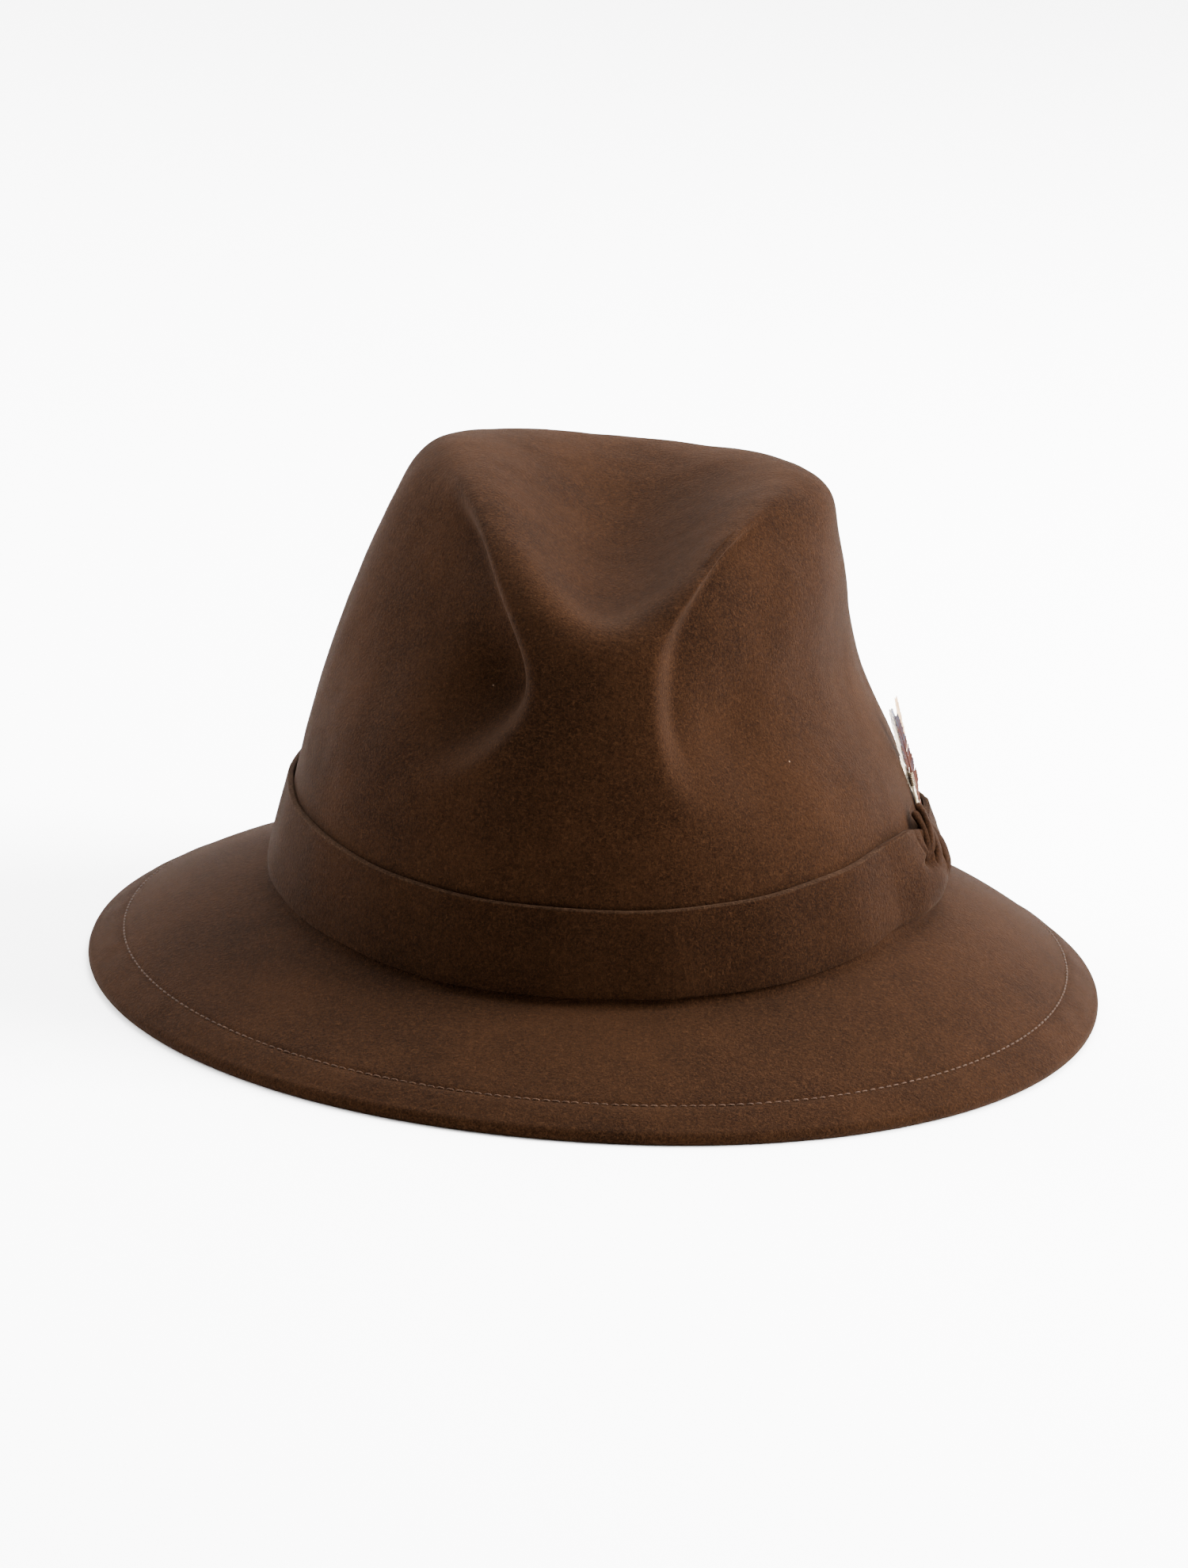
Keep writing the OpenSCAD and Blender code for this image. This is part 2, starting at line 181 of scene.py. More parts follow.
def crease(x, y, z):
    """How far the crown's top is pressed down, with a deeper dip at the front."""
    g = CREASE
    half = g["half"][0] + (g["half"][1] - g["half"][0]) * ease(*g["widens"], y)
    u = np.clip(np.abs(x - g["x"]) / half, 0, 1)
    across = ((1 + np.cos(np.pi * u)) / 2) ** g["sharp"]
    run = ease(*g["starts"], y) * (1 - ease(*g["ends"], y))
    dip = DIP["d"] * bell((y - DIP["at"]) / DIP["size"][1]) * bell((x - g["x"]) / DIP["size"][0])
    return (g["d"] * across * run + dip) * ease(*g["height"], z)


def pinch(x, y, z, g, hollow):
    """How far one side of the crown's front is pressed in beside the nose, with a thumb hollow in it."""
    a = g["side"] * x
    nose = g["nose"] + g["above"][0] * grow(z - g["above"][1]) + g["below"][0] * grow(g["below"][1] - z)
    t = a - nose
    across = ease(-3, g["rise"], t) * bell(np.maximum(0, t - g["rise"]) / g["fall"])
    up = ease(*g["fade_in"], z) * (1 - ease(*g["fade_out"], z))
    thumb = hollow["d"] * bell((a - hollow["x"]) / hollow["size"]) * bell((z - hollow["z"]) / hollow["size"])
    return (g["depth"] * up + thumb) * across * (1 - ease(-60, g["back"], y))


def swell(y, z, g):
    return g["d"] * bell((y - g["y"]) / g["size"][0]) * bell((z - g["z"]) / g["size"][1])


def side_push(x, y, z, side, dent, bulge):
    """How far a side of the crown is bulged out near its top, less its dent."""
    return swell(y, z, bulge) * ease(10, 40, side * x) - swell(y, z, dent) * ease(15, 50, side * x)


def crown(th, s):
    x, y, z = open_crown(th, s)
    right = pinch(x, y, z, PINCH_RIGHT, HOLLOW_RIGHT)
    left = pinch(x, y, z, PINCH_LEFT, HOLLOW_LEFT)
    push = side_push(x, y, z, 1, DENT_LEFT, BULGE_LEFT) - side_push(x, y, z, -1, DENT_RIGHT, BULGE_RIGHT)
    up = BREAK_Z + z + base_line(th) * base_left(z) - crease(x, y, z)
    return np.stack([x + 0.6 * (right - left) + push + LEAN * z / 100, y + 0.8 * (right + left), up], -1)


def brim(th, v):
    """The brim's upper surface: v runs from 0 at the break to 1 at the edge."""
    k = round_out(th, BRIM_SQUARE)
    run = np.clip(v * SLOPE_W, 0, FILLET)
    corner = FILLET * (1 - np.sqrt(1 - (1 - run / FILLET) ** 2))
    drop = BRIM_STRAIGHT * v + (1 - BRIM_STRAIGHT) * np.maximum(0, v) ** BRIM_CURL
    foot = crown(th, np.zeros_like(th))
    x0, y0, z0 = foot[..., 0], foot[..., 1], foot[..., 2] - FILLET
    x = x0 + ((BRIM_W - FELT_T) * k * np.cos(th) - x0) * v
    y = y0 + ((BRIM_L - FELT_T) * k * np.sin(th) - y0) * v
    return np.stack([x, y, z0 + corner - (z0 - EDGE_Z) * drop], -1)


def outside(th, u):
    """The felt's outer surface: u is 1 at the crown's top, 0 at the break and -1 at the brim's edge."""
    th, u = np.broadcast_arrays(np.asarray(th, float), np.asarray(u, float))
    up = crown(th, np.clip(u, 0, 1))
    down = brim(th, np.clip(-u, 0, None))
    return np.where((u >= 0)[..., None], up, down)


def unit(v):
    return v / np.linalg.norm(v, axis=-1, keepdims=True)


def along(th, u):
    """The felt's direction towards the crown's top."""
    return unit(outside(th, np.minimum(u + 0.003, 1)) - outside(th, u - 0.003))


def normal(th, u):
    return unit(np.cross(outside(th + 0.005, u) - outside(th - 0.005, u), along(th, u)))


def skin(th, u, off):
    """A point off the felt's outer surface, along its normal."""
    return outside(th, u) + np.asarray(off, float)[..., None] * normal(th, u)


def share(z):
    """The s of open_crown at height z above the break."""
    h = np.maximum(0, z) / CROWN_H
    return np.arctan2(h, (1 - h**CROWN_SQUARE) ** (1 / CROWN_SQUARE)) / (np.pi / 2)


def outwards(th):
    """The level direction away from the crown's foot."""
    p = BASE_SQUARE - 1
    x = np.sign(np.cos(th)) * np.abs(np.cos(th)) ** p / CROWN_W
    y = np.sign(np.sin(th)) * np.abs(np.sin(th)) ** p / CROWN_L
    return unit(np.stack([x, y, np.zeros_like(x)], -1))


def lift(th, z):
    """The blocked height of a place z above the crown's foot."""
    return z + base_line(th) * (1 - base_left(z))


def wall_at(th, z, off, dented=True):
    """A point off the crown's wall at the blocked height z, with its dents or bridging them."""
    th, z, off = np.broadcast_arrays(np.asarray(th, float), np.asarray(z, float), np.asarray(off, float))
    if dented:
        p = crown(th, share(z))
    else:
        x, y, h = open_crown(th, share(z))
        p = np.stack([x + LEAN * h / 100, y, h], -1)
    p = p + off[..., None] * outwards(th)
    p[..., 2] = BREAK_Z + z + base_line(th) * base_left(z)
    return p


def wall(th, z, off):
    """The same with z measured up from the crown's foot."""
    return wall_at(th, lift(th, z), off)


# ---------------------------------------------------------------- mesh tools
def signed_volume(points, faces):
    """Above 0 where the faces look outwards. The many-sided end faces are left out."""
    quads = np.array([f for f in faces if len(f) == 4])
    a, b, c, d = (points[quads[:, k]] for k in range(4))
    return (a * np.cross(b, c)).sum() + (a * np.cross(c, d)).sum()


def make_object(name, points, faces, body, materials, picks=None, tone=None):
    """A smooth mesh that rides on a body. picks chooses each face's material, tone is kept at each point."""
    mesh = bpy.data.meshes.new(name)
    points = np.asarray(points, float).reshape(-1, 3)
    if signed_volume(points - points.mean(0), faces) < 0:
        faces = [f[::-1] for f in faces]
    mesh.from_pydata((points * MM).tolist(), [], faces)
    mesh.update()
    mesh.shade_smooth()
    for m in materials if isinstance(materials, list) else [materials]:
        mesh.materials.append(m)
    if picks is not None:
        mesh.polygons.foreach_set("material_index", np.asarray(picks, np.int32))
    if tone is not None:
        layer = mesh.attributes.new("tone", "FLOAT", "POINT")
        layer.data.foreach_set("value", np.asarray(tone, np.float32).reshape(-1))
    obj = bpy.data.objects.new(name, mesh)
    bpy.context.collection.objects.link(obj)
    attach(obj, body)
    return obj


def full_turn(count):
    """Angles of count even steps round a circle."""
    return np.arange(count) * 2 * np.pi / count


def grid_faces(rows, cols, wrap_rows=False, wrap_cols=False, first=0):
    """Four-sided faces over a grid of points whose numbers start at first."""
    i = np.arange(rows if wrap_rows else rows - 1)
    j = np.arange(cols if wrap_cols else cols - 1)
    a = i[:, None] * cols + j[None, :]
    b = i[:, None] * cols + (j[None, :] + 1) % cols
    c = ((i[:, None] + 1) % rows) * cols + (j[None, :] + 1) % cols
    d = ((i[:, None] + 1) % rows) * cols + j[None, :]
    return (first + np.stack([a, d, c, b], -1).reshape(-1, 4)).tolist()


def loft_faces(rows, cols, closed=False, first=0):
    """Faces of a solid through rows rings of cols points each, with ends unless it closes on itself."""
    faces = grid_faces(rows, cols, wrap_rows=closed, wrap_cols=True, first=first)
    if not closed:
        faces.append([first + j for j in range(cols)])
        faces.append([first + (rows - 1) * cols + j for j in reversed(range(cols))])
    return faces


def tubes(paths, radii, ups, sides=6, closed=False):
    """Points and faces of round cords: paths is (count, points, 3), radii (points,) or (count, points)."""
    paths = np.asarray(paths, float)
    count, length = paths.shape[:2]
    if closed:
        run = np.roll(paths, -1, 1) - np.roll(paths, 1, 1)
    else:
        run = np.gradient(paths, axis=1)
    run = unit(run)
    side = unit(np.cross(run, np.broadcast_to(ups, paths.shape)))
    up = np.cross(side, run)
    turn = full_turn(sides)
    r = np.broadcast_to(radii, (count, length))[..., None, None]
    ring = np.cos(turn)[:, None] * side[:, :, None, :] + np.sin(turn)[:, None] * up[:, :, None, :]
    points = paths[:, :, None, :] + r * ring
    faces = []
    for k in range(count):
        faces += loft_faces(length, sides, closed, k * length * sides)
    return points.reshape(-1, 3), faces


def wave(th, seed, parts=5, low=2, high=11):
    """A smooth closed wobble round the hat, about -1 to 1."""
    rng = np.random.default_rng(seed)
    total = 0
    for _ in range(parts):
        n = rng.integers(low, high)
        total = total + rng.normal() * np.sin(n * th + rng.uniform(0, 2 * np.pi))
    return total / parts**0.5


# ---------------------------------------------------------------- materials
class Nodes:
    """A small helper to write a node material as sums of textures."""

    def __init__(self, name, **sockets):
        self.material = bpy.data.materials.new(name)
        self.material.use_nodes = True
        self.tree = self.material.node_tree
        self.shader = self.tree.nodes["Principled BSDF"]
        for key, value in sockets.items():
            self.shader.inputs[key.replace("_", " ")].default_value = value
        self.place = self.add("ShaderNodeTexCoord").outputs["Object"]

    def add(self, kind, **settings):
        node = self.tree.nodes.new(kind)
        for key, value in settings.items():
            setattr(node, key, value)
        return node

    def link(self, a, b):
        self.tree.links.new(a, b)

    def noise(self, scale, detail=2.0, rough=0.5, stretch=(1, 1, 1), turn=(0, 0, 0), distort=0.0):
        source = self.place
        if stretch != (1, 1, 1) or turn != (0, 0, 0):
            m = self.add("ShaderNodeMapping")
            m.inputs["Scale"].default_value = stretch
            m.inputs["Rotation"].default_value = turn
            self.link(self.place, m.inputs["Vector"])
            source = m.outputs["Vector"]
        t = self.add("ShaderNodeTexNoise")
        self.link(source, t.inputs["Vector"])
        t.inputs["Scale"].default_value = scale
        t.inputs["Detail"].default_value = detail
        t.inputs["Roughness"].default_value = rough
        t.inputs["Distortion"].default_value = distort
        return t.outputs["Fac"]

    def cells(self, scale, feature="F1"):
        t = self.add("ShaderNodeTexVoronoi", feature=feature)
        self.link(self.place, t.inputs["Vector"])
        t.inputs["Scale"].default_value = scale
        return t.outputs["Distance"]

    def ramp(self, source, *stops):
        """A colour ramp; each stop is a place and its colour, or a single grey value."""
        r = self.add("ShaderNodeValToRGB")
        self.link(source, r.inputs["Fac"])
        points = r.color_ramp.elements
        while len(points) < len(stops):
            points.new(0.5)
        for point, (at, colour) in zip(points, stops):
            point.position = at
            point.color = (*colour, 1) if len(colour) == 3 else (colour[0],) * 3 + (1,)
        return r.outputs["Color"]

    def math(self, kind, a, b):
        m = self.add("ShaderNodeMath", operation=kind)
        for socket, value in zip(m.inputs, (a, b)):
            if isinstance(value, (int, float)):
                socket.default_value = value
            else:
                self.link(value, socket)
        return m.outputs["Value"]

    def mix(self, amount, a, b):
        m = self.add("ShaderNodeMix", data_type="RGBA")
        for socket, value in ((m.inputs[0], amount), (m.inputs[6], a), (m.inputs[7], b)):
            if isinstance(value, (int, float)):
                socket.default_value = value
            elif isinstance(value, tuple):
                socket.default_value = (*value, 1)
            else:
                self.link(value, socket)
        return m.outputs[2]

    def bump(self, height, strength, distance):
        b = self.add("ShaderNodeBump")
        b.inputs["Strength"].default_value = strength
        b.inputs["Distance"].default_value = distance
        self.link(height, b.inputs["Height"])
        self.link(b.outputs["Normal"], self.shader.inputs["Normal"])

    def tone(self):
        return self.add("ShaderNodeAttribute", attribute_name="tone").outputs["Fac"]


# How the three runs of matted fibres are stretched and turned.
FIBRE_RUNS = (
    ((1, 0.35, 0.45), (0.4, 0.2, 0.7)),
    ((0.4, 1, 0.45), (0.1, 0.9, 0.2)),
    ((0.4, 0.45, 1), (0.7, 0.3, 0.4)),
)
SHEEN_TINT = (0.85, 0.46, 0.26, 1)
LINT_COLOUR = (0.09, 0.06, 0.042)


def felt_material(name, dark, light, specks=True):
    """Fur felt: fine matted fibres, cloudy colour and a few pale fibres and specks of lint."""
    n = Nodes(name, Roughness=0.95, Specular_IOR_Level=0.015, Sheen_Weight=0.02, Sheen_Roughness=0.4)
    n.shader.inputs["Sheen Tint"].default_value = SHEEN_TINT
    cloud = n.noise(32, 4, 0.65)
    grain = n.noise(1700, 3, 0.7)
    runs = [n.noise(2400, 1, 0.5, stretch=stretch, turn=turn, distort=1.2) for stretch, turn in FIBRE_RUNS]
    matted = n.math("MAXIMUM", n.math("MAXIMUM", runs[0], runs[1]), runs[2])
    tone = n.math("ADD", n.math("MULTIPLY", cloud, 0.4), n.math("MULTIPLY", grain, 0.6))
    colour = n.ramp(tone, (0.4, dark), (0.62, light))
    pale = tuple(m * c for m, c in zip((1.8, 2.0, 2.3), light))
    strands = n.ramp(matted, (0.56, (0.0,)), (0.78, (0.7,)))
    colour = n.mix(strands, colour, pale)
    if specks:
        lint = n.ramp(n.cells(260), (0.04, (1.0,)), (0.07, (0.0,)))
        few = n.ramp(n.noise(60, 1), (0.68, (0.0,)), (0.72, (1.0,)))
        colour = n.mix(n.math("MULTIPLY", lint, few), colour, LINT_COLOUR)
    n.link(colour, n.shader.inputs["Base Color"])
    nap = n.math("ADD", n.math("MULTIPLY", matted, 0.5), n.math("MULTIPLY", n.noise(1000, 3, 0.65), 0.5))
    n.bump(nap, 0.85, 0.0006)
    return n.material


def thread_material(name, colour):
    """Twisted thread, with painted shade between its plies."""
    n = Nodes(name, Roughness=0.7, Specular_IOR_Level=0.06)
    ply = n.noise(2600, 1, 0.5, stretch=(1, 0.4, 1), turn=(0.5, 0.3, 0.6))
    # Painted shade: the colour darkens where the plies dip.
    shade = tuple(0.45 * c for c in colour)
    n.link(n.ramp(ply, (0.35, shade), (0.65, colour)), n.shader.inputs["Base Color"])
    n.bump(ply, 0.5, 0.0002)
    return n.material


def leather_material():
    """Roan leather with pores and soft wrinkles."""
    n = Nodes("roan_leather", Roughness=0.5, Specular_IOR_Level=0.2)
    pores = n.cells(900, "DISTANCE_TO_EDGE")
    wrinkle = n.noise(160, 4, 0.6)
    colour = n.ramp(wrinkle, (0.3, (0.0714, 0.0315, 0.0134)), (0.7, (0.126, 0.063, 0.0294)))
    n.link(colour, n.shader.inputs["Base Color"])
    n.link(n.ramp(wrinkle, (0.3, (0.42,)), (0.7, (0.62,))), n.shader.inputs["Roughness"])
    height = n.math("ADD", n.ramp(pores, (0.0, (0.0,)), (0.12, (1.0,))), n.math("MULTIPLY", wrinkle, 0.8))
    n.bump(height, 0.35, 0.0002)
    return n.material


def ribbon_material(name, dark, light, scale=3800):
    """Woven ribbon with fine ribs, from two crossed runs of threads."""
    n = Nodes(name, Roughness=0.55, Specular_IOR_Level=0.35, Sheen_Weight=0.3, Sheen_Roughness=0.3)
    ribs = n.noise(scale, 0, 0.5, stretch=(1, 1, 0.06))
    picks = n.noise(scale, 0, 0.5, stretch=(0.06, 0.06, 1))
    weave = n.math("ADD", n.math("MULTIPLY", ribs, 0.65), n.math("MULTIPLY", picks, 0.35))
    n.link(n.ramp(weave, (0.4, dark), (0.6, light)), n.shader.inputs["Base Color"])
    n.bump(weave, 0.5, 0.00025)
    return n.material


def satin_material():
    """Lining satin with long floats."""
    n = Nodes("lining_satin", Roughness=0.36, Specular_IOR_Level=0.16, Sheen_Weight=0.015, Anisotropic=0.5)
    floats = n.noise(3000, 0, 0.5, stretch=(1, 1, 0.04))
    cloud = n.noise(40, 3, 0.6)
    tone = n.math("ADD", n.math("MULTIPLY", floats, 0.45), n.math("MULTIPLY", cloud, 0.55))
    colour = n.ramp(tone, (0.35, (0.04, 0.019, 0.0085)), (0.65, (0.08, 0.041, 0.02)))
    n.link(colour, n.shader.inputs["Base Color"])
    n.bump(floats, 0.25, 0.00012)
    return n.material


def plastic_material(name, dark, light):
    """Plastic or horn with faint streaks."""
    n = Nodes(name, Roughness=0.42, Specular_IOR_Level=0.12)
    streak = n.noise(500, 2, 0.5, stretch=(1, 1, 0.3))
    n.link(n.ramp(streak, (0.35, dark), (0.65, light)), n.shader.inputs["Base Color"])
    n.bump(streak, 0.15, 0.0001)
    return n.material


def feather_material(name, *stops, spots=None):
    """Barbs coloured along the feather by the tone attribute, and broken up by fine noise."""
    n = Nodes(name, Roughness=0.6, Specular_IOR_Level=0.08, Sheen_Weight=0.02, Sheen_Roughness=0.4)
    streak = n.noise(1400, 2, 0.6)
    at = n.math("ADD", n.tone(), n.math("MULTIPLY", n.math("SUBTRACT", streak, 0.5), 0.35))
    colour = n.ramp(at, *stops)
    if spots:
        dots = n.ramp(n.cells(620), (0.16, (1.0,)), (0.24, (0.0,)))
        colour = n.mix(dots, colour, spots)
    n.link(colour, n.shader.inputs["Base Color"])
    n.bump(streak, 0.3, 0.0001)
    return n.material


# Colours are darker than the real stuffs', because the studio's light is strong.
FELT = felt_material("felt", (0.0026, 0.00088, 0.00024), (0.0092, 0.00355, 0.00125))
BAND_FELT = felt_material("felt_band", (0.0024, 0.00082, 0.00023), (0.0084, 0.0032, 0.0011))
# The band's cut edges use a lighter felt: a painted highlight where the edges catch the light.
EDGE_HIGHLIGHT_FELT = felt_material("felt_cut_edge_painted_highlight", (0.0036, 0.0015, 0.0006), (0.012, 0.0058, 0.0028), specks=False)
THREAD = thread_material("tan_thread", (0.026, 0.012, 0.0055))
LEATHER = leather_material()
TAPE = ribbon_material("brown_ribbon", (0.006, 0.003, 0.0018), (0.02, 0.01, 0.006))
TAB = ribbon_material("tab_cloth", (0.2, 0.18, 0.14), (0.3, 0.27, 0.22), 5000)
SATIN = satin_material()
REED = plastic_material("reed_plastic", (0.07, 0.052, 0.034), (0.1, 0.078, 0.052))
HORN = plastic_material("quill_horn", (0.45, 0.36, 0.22), (0.7, 0.62, 0.48))
BINDING = thread_material("binding_thread", (0.12, 0.085, 0.05))


# ---------------------------------------------------------------- felt body
def felt_surface(around=480):
    """Rings of felt from the crown's top down over the brim, round its folded edge and back up the inside."""
    th = full_turn(around)
    uneven = 0.1 * wave(th, 3, 6, 20, 60)

    def ring(u, off):
        return skin(th, np.full(around, u), np.broadcast_to(off, around))

    def on_floor(points):
        points[:, 2] = np.maximum(points[:, 2], 0)
        return points

    def groove(w):
        return -GROOVE * bell((w - STITCH) * SLOPE_W / GROOVE_W)

    def swollen(w):
        return WELT_SWELL * ease(STITCH + 0.01, STITCH + 0.06, w) * (1 - ease(0.93, 1.0, w))

    rows = [ring(s, 0.0) for s in np.linspace(0, TIP, 190)[::-1]]
    for w in (np.linspace(0, 1, 120) ** 1.15)[1:]:
        rows.append(ring(-w, groove(w) * (1 + uneven) + swollen(w) * (1 + 3 * uneven)))
    edge = ring(-1.0, -FELT_T)
    out = normal(th, np.full(around, -1.0))
    up = along(th, np.full(around, -1.0))
    for turn in np.radians(np.arange(12, 180, 12)):
        rows.append(on_floor(edge + FELT_T * (np.cos(turn) * out - np.sin(turn) * up)))
    for w in np.linspace(1, FOLD + 0.006, 24):
        rows.append(on_floor(ring(-w, -2 * FELT_T - groove(w))))
    for w, off in ((FOLD, -3.7), (FOLD - 0.004, -3.0), (FOLD - 0.004, -2.2)):
        rows.append(ring(-w, off))
    rows += [ring(-w, -FELT_T) for w in np.linspace(FOLD - 0.012, 0.0, 40)]
    rows += [ring(u, -FELT_T) for u in np.linspace(0.01, TIP, 80)]
    return np.stack(rows)


def felt_body():
    """The felt, with its crown made slightly uneven by noise."""
    points = felt_surface()
    flat = points.reshape(-1, 3)
    soft = np.array([noise.noise(Vector(p) * 0.045) for p in flat.tolist()])
    fine = np.array([noise.noise(Vector(p) * 0.13 + Vector((7, 3, 1))) for p in flat.tolist()])
    crown_part = ease(50, 62, flat[:, 2])
    outward = unit(flat - np.array([0, 0, 40.0]))
    flat = flat + outward * ((0.55 * soft + 0.16 * fine) * crown_part)[:, None]
    obj = make_object("felt_shell", flat, loft_faces(*points.shape[:2]), "hat", FELT)
    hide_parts("felt_body")


def stitch_row(
    name, node, count, place, up, reach=0.4, radius=0.24, high=0.16, low=-0.2, jitter=0.04, seed=1
):
    """Separate stitches on the ring place(th, off): each one rises out of the felt and goes back in."""
    rng = np.random.default_rng(seed)
    step = 2 * np.pi / count
    t = np.linspace(-1, 1, 7)
    centre = (np.arange(count) + rng.normal(0, jitter, count)) * step
    th = centre[:, None] + t[None, :] * step * reach
    off = low + (high - low) * (1 - np.abs(t) ** 3)
    paths = place(th, np.broadcast_to(off, th.shape))
    radii = radius * (0.75 + 0.25 * (1 - t**4)) * (1 + rng.normal(0, 0.07, (count, 1)))
    points, faces = tubes(paths, radii, up(th))
    obj = make_object(name, points, faces, "hat", THREAD)
    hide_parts(node)


BRIM_STITCHES = 322
SWEAT_STITCHES = 210
STITCH_SINK = 0.3


def brim_stitches(name, node, depth, seed):
    """The brim's row; depth turns a stitch's height into its place off the felt's upper surface."""
    stitch_row(
        name, node, BRIM_STITCHES,
        lambda th, off: skin(th, np.full(th.shape, -STITCH), depth(off)),
        lambda th: normal(th, np.full(th.shape, -STITCH)), seed=seed,
    )


felt_body()
brim_stitches("brim_stitches_top", "brim_needle_thread", lambda off: off - STITCH_SINK, 1)
brim_stitches("brim_stitches_under", "brim_bobbin_thread", lambda off: -2 * FELT_T + STITCH_SINK - off, 2)


# ---------------------------------------------------------------- hatband and bow
def near_bow(th, front, rear):
    """1 at the bow, fading to 0 over the degrees given for its front and rear side."""
    a = np.degrees(np.mod(th + np.pi, 2 * np.pi) - np.pi) - BOW_AT
    return 1 - np.where(a < 0, ease(*front, -a), ease(*rear, a))


def band_off(th):
    """The band's distance off the felt: it stands away at the bow, where the feathers go in."""
    return BAND_GAP + POCKET * near_bow(th, (18, 28), (8, 16))


def band_top(th):
    return BAND_FOOT + BAND_H - BAND_DIP * near_bow(th, (8, 20), (22, 50))


def hatband():
    """The band, with soft cut edges along its top and foot that carry a painted highlight."""
    around = 900
    th = full_turn(around)
    from_side = np.degrees(np.minimum(th, 2 * np.pi - th))
    lo = BAND_FOOT - BAND_DROP * ease(26, 45, from_side) + 0.22 * wave(th, 11, 7, 3, 30)
    hi = band_top(th) + 0.14 * wave(th, 12, 7, 3, 24)
    off = band_off(th) + 0.12 * wave(th, 13, 7, 3, 22)
    t = BAND_T
    foot = [(0, 0.35), (0, 0.9), (0.004, 1.3), (0.01, t - 0.08)]
    face = [(v, t + 0.12 * math.sin(math.pi * v)) for v in np.linspace(0.02, 0.98, 12)]
    top = [(0.992, t - 0.06), (0.998, t - 0.25), (1.0, t - 0.6), (1.0, 0.5), (0.996, 0.1)]
    back = [(v, 0.0) for v in (0.9, 0.5, 0.1)]
    outline = foot + face + top + back
    points = np.stack([wall(th, lo + (hi - lo) * v, off + q) for v, q in outline], 1)
    faces = grid_faces(around, len(outline), wrap_rows=True, wrap_cols=True)
    # Faces along the band's foot and top edge take the lighter felt, a painted highlight on the cut edges.
    cut = np.zeros((around, len(outline)), int)
    cut[:, 0:2] = 1
    top_from = len(foot) + len(face) - 1
    cut[:, top_from:top_from + 4] = 1
    felts = [BAND_FELT, EDGE_HIGHLIGHT_FELT]
    obj = make_object("hatband_felt", points, faces, "hat", felts, cut.reshape(-1))
    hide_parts("hatband")


hatband()

# Folds of the gathered felt: from and to, in millimetres from the knot and up, then depth and width.
BOW_FOLDS = (
    ((18, 11.5), (20.5, 19), 0.5, 0.8),
    ((16, 11.5), (14.5, 18.5), 0.6, 0.8),
    ((14, 10), (9, 14.5), 0.5, 0.9),
    ((16, 9), (9, 6), 0.35, 1.1),
)
BOW_PIT = (18.6, 10.8)
MM_PER_DEGREE = 1.5
FRONT_RISE, REAR_RISE = 3.3, 1.2
REAR_FOLDS = 0.4


def valley(s, z, a, b, depth, size):
    """A soft groove in the plane (s, z) along the line from a to b."""
    a, b = np.array(a), np.array(b)
    d = b - a
    t = np.clip(((s - a[0]) * d[0] + (z - a[1]) * d[1]) / (d @ d), 0, 1)
    far = np.hypot(s - a[0] - t * d[0], z - a[1] - t * d[1])
    return depth * bell(far / size)


def bow_puff(deg, z, side):
    """How far the gathered felt stands off the band, deg from the knot's middle and z above the foot."""
    a = side * deg
    front = side < 0
    rise = (FRONT_RISE if front else REAR_RISE) * (1 - ease(9, 25, a)) * (1 - 0.12 * (1 - ease(0, 6, a)))
    puff = rise * np.where(z > 6, bell((z - 6) / 7.6), bell((6 - z) / 6.6))
    s = a * MM_PER_DEGREE
    ds, dz = s - BOW_PIT[0], z - BOW_PIT[1]
    pit = 2.4 * bell((ds + 0.9 * dz) / 2.9) * bell((dz - 0.25 * ds) / 1.35)
    folds = sum(valley(s, z, *fold) for fold in BOW_FOLDS)
    return puff - (pit + folds) * (0.35 + 0.65 * (1 - ease(14, 22, a))) * (1 if front else REAR_FOLDS)


def bow_side(name, node, side):
    """The gathered felt beside the knot, which sinks into the band at its far end."""
    count = 120
    deg = side * np.linspace(0.6, 26.5, count)
    th = np.radians(deg)
    sink = 0.02 - 0.5 * ease(23.5, 26.5, side * deg)
    lo = 0.35
    hi = band_top(th) + 0.03
    outer = []
    for v in np.linspace(0, 1, 44):
        z = lo + (hi - lo) * v
        off = band_off(th) + BAND_T + 0.12 * math.sin(math.pi * v) + sink + bow_puff(deg, z, side)
        outer.append(wall(th, z, off))
    edge_top = [wall(th, hi, band_off(th) + BAND_T * f) for f in (0.7, 0.35)]
    inner = [wall(th, lo + (hi - lo) * v, band_off(th) + 0.25) for v in (0.96, 0.5, 0.04)]
    points = np.stack(outer + edge_top + inner, 1)
    faces = loft_faces(count, points.shape[1])
    obj = make_object(name, points, faces, "hat", BAND_FELT)
    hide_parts(node)


bow_side("bow_front_gather", "bow_front_loop", -1)
bow_side("bow_rear_gather", "bow_rear_loop", 1)

